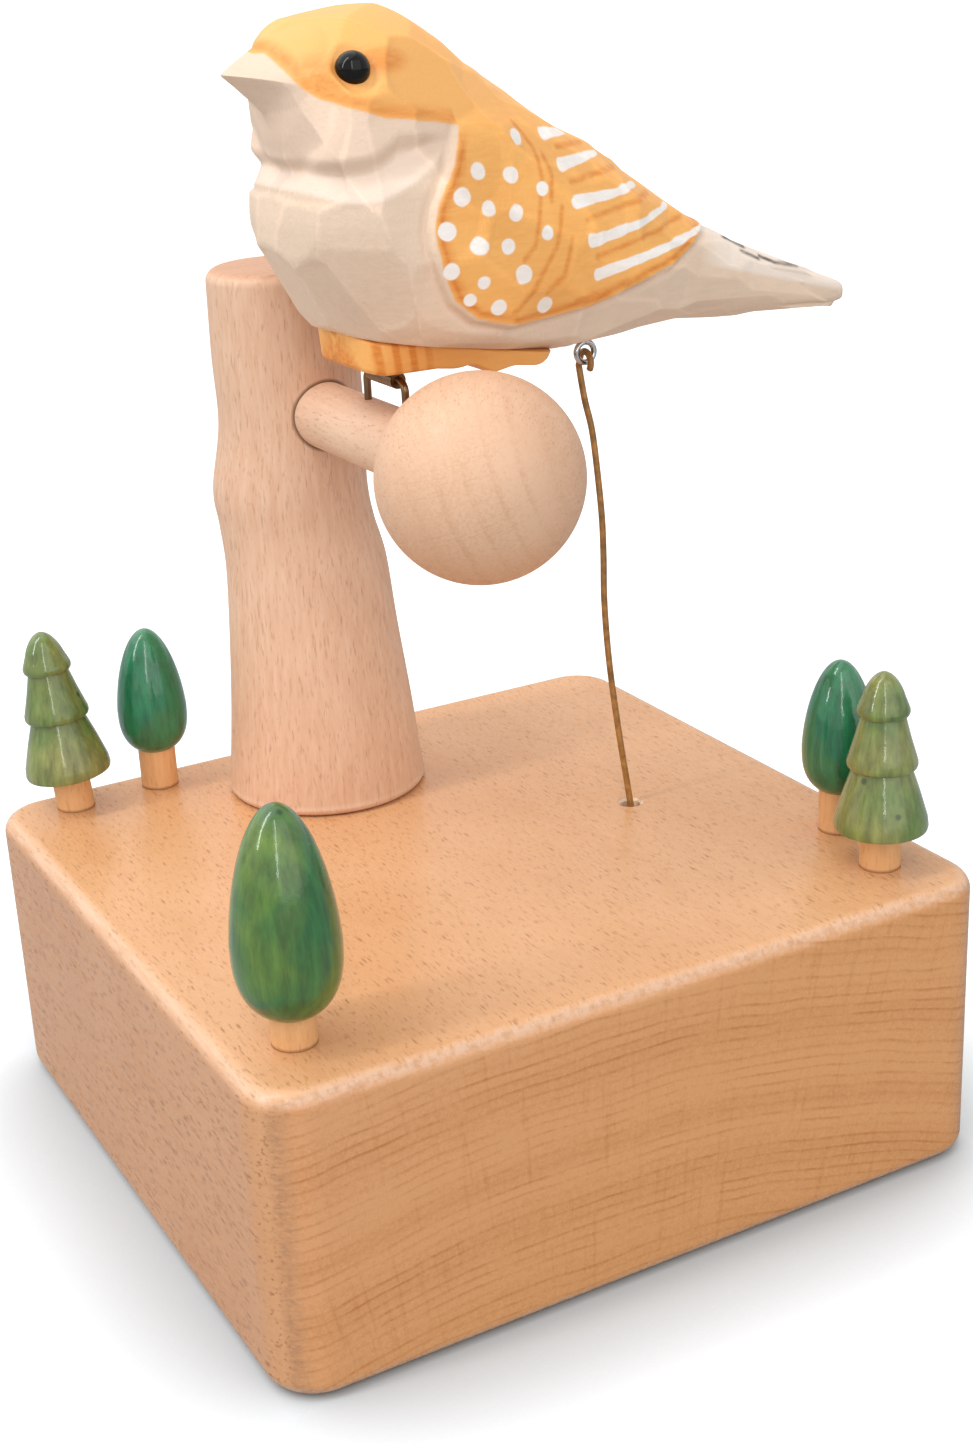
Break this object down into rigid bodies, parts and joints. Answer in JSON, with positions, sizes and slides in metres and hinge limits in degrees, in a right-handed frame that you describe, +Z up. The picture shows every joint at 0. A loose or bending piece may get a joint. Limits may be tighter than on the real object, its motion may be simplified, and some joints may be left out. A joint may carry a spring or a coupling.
{
  "type": "music box",
  "caption": "Wind-up wooden music box: a painted bird rocks on a branch over a beech block with small trees, pulled by a wire from the movement inside; wing key underneath.",
  "frame": {"origin": "middle of the block's underside", "axes": "+Z up, +X towards the bird's tail, +Y towards the trunk; the branch points to -Y"},
  "size_m": [0.1278, 0.11, 0.1662],
  "materials": {
    "beech": "satin oiled",
    "pale_beech": "raw sanded",
    "plywood": "raw",
    "painted_wood": "matt painted",
    "olive_wood": "dyed and varnished",
    "deep_green_wood": "dyed and varnished",
    "mid_green_wood": "dyed and varnished",
    "black_bead": "glossy",
    "steel": "bright",
    "chrome": "polished",
    "brown_wire": "lacquered",
    "brass": "turned",
    "zinc": "cast"
  },
  "bodies": {
    "base": {"base_block": "beech", "trunk": "pale_beech", "branch": "pale_beech", "perch_ball": "pale_beech", "left_fir_stem": "pale_beech", "back_egg_stem": "pale_beech", "front_egg_stem": "pale_beech", "right_egg_stem": "pale_beech", "right_fir_stem": "pale_beech", "bottom_board": "plywood", "left_fir_crown": "olive_wood", "right_fir_crown": "olive_wood", "back_egg_crown": "deep_green_wood", "right_egg_crown": "deep_green_wood", "front_egg_crown": "mid_green_wood", "board_screws": "steel", "trunk_screw": "steel", "perch_staple": "steel", "movement_screws": "steel", "mainspring": "steel", "comb": "steel", "comb_screws": "steel", "governor_bracket": "steel", "spring_barrel": "brass", "movement_plate": "zinc"},
    "winder": {"winding_arbor": "steel", "winding_key": "steel", "great_wheel": "brass"},
    "cylinder": {"tune_cylinder": "brass", "cylinder_arbor": "steel", "cylinder_pinion": "brass", "cylinder_gear": "brass"},
    "crank": {"crank_shaft": "steel", "crank_pinion": "steel", "worm_wheel": "brass", "crank_disc": "brass", "crank_pin": "steel"},
    "governor": {"governor_worm": "steel", "governor_fan": "brass"},
    "bird": {"bird_body": "painted_wood", "foot_pad": "painted_wood", "bird_eyes": "black_bead", "hinge_knuckle": "steel", "tail_screw_eye": "chrome"},
    "wire": {"pull_wire": "brown_wire"}
  },
  "joints": [
    {"name": "cylinder_turn", "type": "hinge", "parent": "base", "child": "cylinder", "pos_m": [-0.00379, 0.00488, 0.027], "axis": [1, 0, 0], "continuous": true},
    {"name": "key_turn", "type": "hinge", "parent": "base", "child": "winder", "pos_m": [-0.02329, 0.00488, 0.027], "axis": [0, 0, 1], "continuous": true},
    {"name": "crank_turn", "type": "hinge", "parent": "base", "child": "crank", "pos_m": [0.01901, -0.00412, 0.027], "axis": [1, 0, 0], "continuous": true},
    {"name": "governor_turn", "type": "hinge", "parent": "base", "child": "governor", "pos_m": [0.02321, -0.00962, 0.027], "axis": [0, 0, 1], "continuous": true},
    {"name": "bird_rock", "type": "hinge", "parent": "base", "child": "bird", "pos_m": [-0.0066, 0.0024, 0.117], "axis": [0, 1, 0], "range_deg": [-5, 5]},
    {"name": "wire_slide", "type": "slide", "parent": "base", "child": "wire", "axis": [-0.0394, 0.0731, 0.9965], "range_m": [-0.0029, 0.0029]}
  ],
  "couplings": [
    {"joint": "key_turn", "follows": "cylinder_turn", "ratio": -0.33333},
    {"joint": "crank_turn", "follows": "cylinder_turn", "ratio": -4},
    {"joint": "governor_turn", "follows": "cylinder_turn", "ratio": -64},
    {"joint": "wire_slide", "follows": "bird_rock", "m_per_rad": -0.0328}
  ]
}
